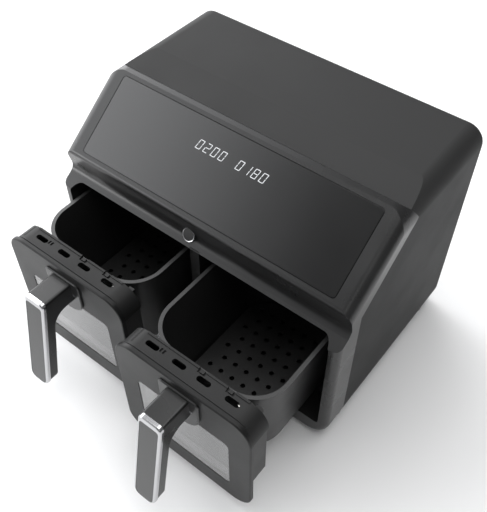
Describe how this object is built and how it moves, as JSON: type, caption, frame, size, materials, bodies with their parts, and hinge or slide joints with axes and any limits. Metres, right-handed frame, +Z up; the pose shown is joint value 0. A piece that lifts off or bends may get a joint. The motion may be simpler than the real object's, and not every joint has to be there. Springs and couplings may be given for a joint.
{
  "type": "air fryer",
  "caption": "Twin-drawer air fryer with a sloping glass control panel, windowed drawers with hooked chrome-fronted grips, lift-out crisper plates, and a heater and fan over each drawer.",
  "frame": {"origin": "on the worktop, under the middle of the whole object's bounding box with the drawers drawn out as at rest", "axes": "+Z up; -Y is the front, where the drawers and the control panel are; +X is the object's right-hand side from the front"},
  "size_m": [0.4, 0.4684, 0.302],
  "materials": {
    "shell": "fine moulded grain, dark charcoal",
    "tray": "moulded, near black",
    "panel_glass": "smoked control glass",
    "readout": "smoked lens of the display",
    "board": "solder-masked laminate",
    "badge": "satin plated ring",
    "rubber": "matt",
    "sheet_steel": "aluminised sheet",
    "heater_steel": "heat-tinted tube",
    "motor": "laminated stack and can",
    "fan": "stamped",
    "screw": "zinc plated",
    "drawer_face": "semi-gloss black",
    "cap": "moulded, dark grey",
    "window": "clear toughened pane with a grey tint",
    "gasket": "silicone",
    "handle": "polished black",
    "trim": "bright plated",
    "insert": "grey soft-touch inlay",
    "magnet": "nickel plated",
    "nonstick": "black non-stick coating on sheet"
  },
  "bodies": {
    "casing": {"badge_ring": "badge", "base_tray": "tray", "case_screws": "screw", "chamber_left": "sheet_steel", "chamber_right": "sheet_steel", "control_board": "board", "control_glass": "panel_glass", "cord_gland": "rubber", "display_module": "readout", "drawer_sensors": "tray", "fan_motor_left": "motor", "fan_motor_right": "motor", "front_fascia": "shell", "heater_guard_left": "sheet_steel", "heater_guard_right": "sheet_steel", "heater_left": "heater_steel", "heater_right": "heater_steel", "motor_deck": "sheet_steel", "outer_cover": "shell", "power_board": "board", "rear_cover": "shell", "rubber_feet": "rubber", "temperature_probe_left": "screw", "temperature_probe_right": "screw"},
    "drawer_left": {"face_panel_left": "drawer_face", "window_glass_left": "window", "window_gasket_left": "gasket", "inner_window_left": "window", "drawer_housing_left": "tray", "vent_cap_left": "cap", "drawer_magnet_left": "magnet", "handle_base_left": "handle", "handle_body_left": "handle", "handle_trim_left": "trim", "handle_insert_left": "insert", "handle_screws_left": "screw", "basket_left": "nonstick"},
    "plate_left": {"crisper_plate_left": "nonstick", "plate_bumpers_left": "gasket"},
    "fan_left": {"hot_fan_left": "fan", "cooling_fan_left": "fan", "fan_shaft_left": "screw"},
    "drawer_right": {"face_panel_right": "drawer_face", "window_glass_right": "window", "window_gasket_right": "gasket", "inner_window_right": "window", "drawer_housing_right": "tray", "vent_cap_right": "cap", "drawer_magnet_right": "magnet", "handle_base_right": "handle", "handle_body_right": "handle", "handle_trim_right": "trim", "handle_insert_right": "insert", "handle_screws_right": "screw", "basket_right": "nonstick"},
    "plate_right": {"crisper_plate_right": "nonstick", "plate_bumpers_right": "gasket"},
    "fan_right": {"hot_fan_right": "fan", "cooling_fan_right": "fan", "fan_shaft_right": "screw"}
  },
  "joints": [
    {"name": "drawer_left_slide", "type": "slide", "parent": "casing", "child": "drawer_left", "axis": [0, -1, 0], "range_m": [-0.091, 0.099]},
    {"name": "plate_left_lift", "type": "slide", "parent": "drawer_left", "child": "plate_left", "axis": [0, 0, 1], "range_m": [0, 0.1]},
    {"name": "fan_left_spin", "type": "hinge", "parent": "casing", "child": "fan_left", "pos_m": [-0.0979, 0.08821, 0.205], "axis": [0, 0, 1], "continuous": true},
    {"name": "drawer_right_slide", "type": "slide", "parent": "casing", "child": "drawer_right", "axis": [0, -1, 0], "range_m": [-0.12, 0.07]},
    {"name": "plate_right_lift", "type": "slide", "parent": "drawer_right", "child": "plate_right", "axis": [0, 0, 1], "range_m": [0, 0.1]},
    {"name": "fan_right_spin", "type": "hinge", "parent": "casing", "child": "fan_right", "pos_m": [0.0979, 0.08821, 0.205], "axis": [0, 0, 1], "continuous": true}
  ]
}
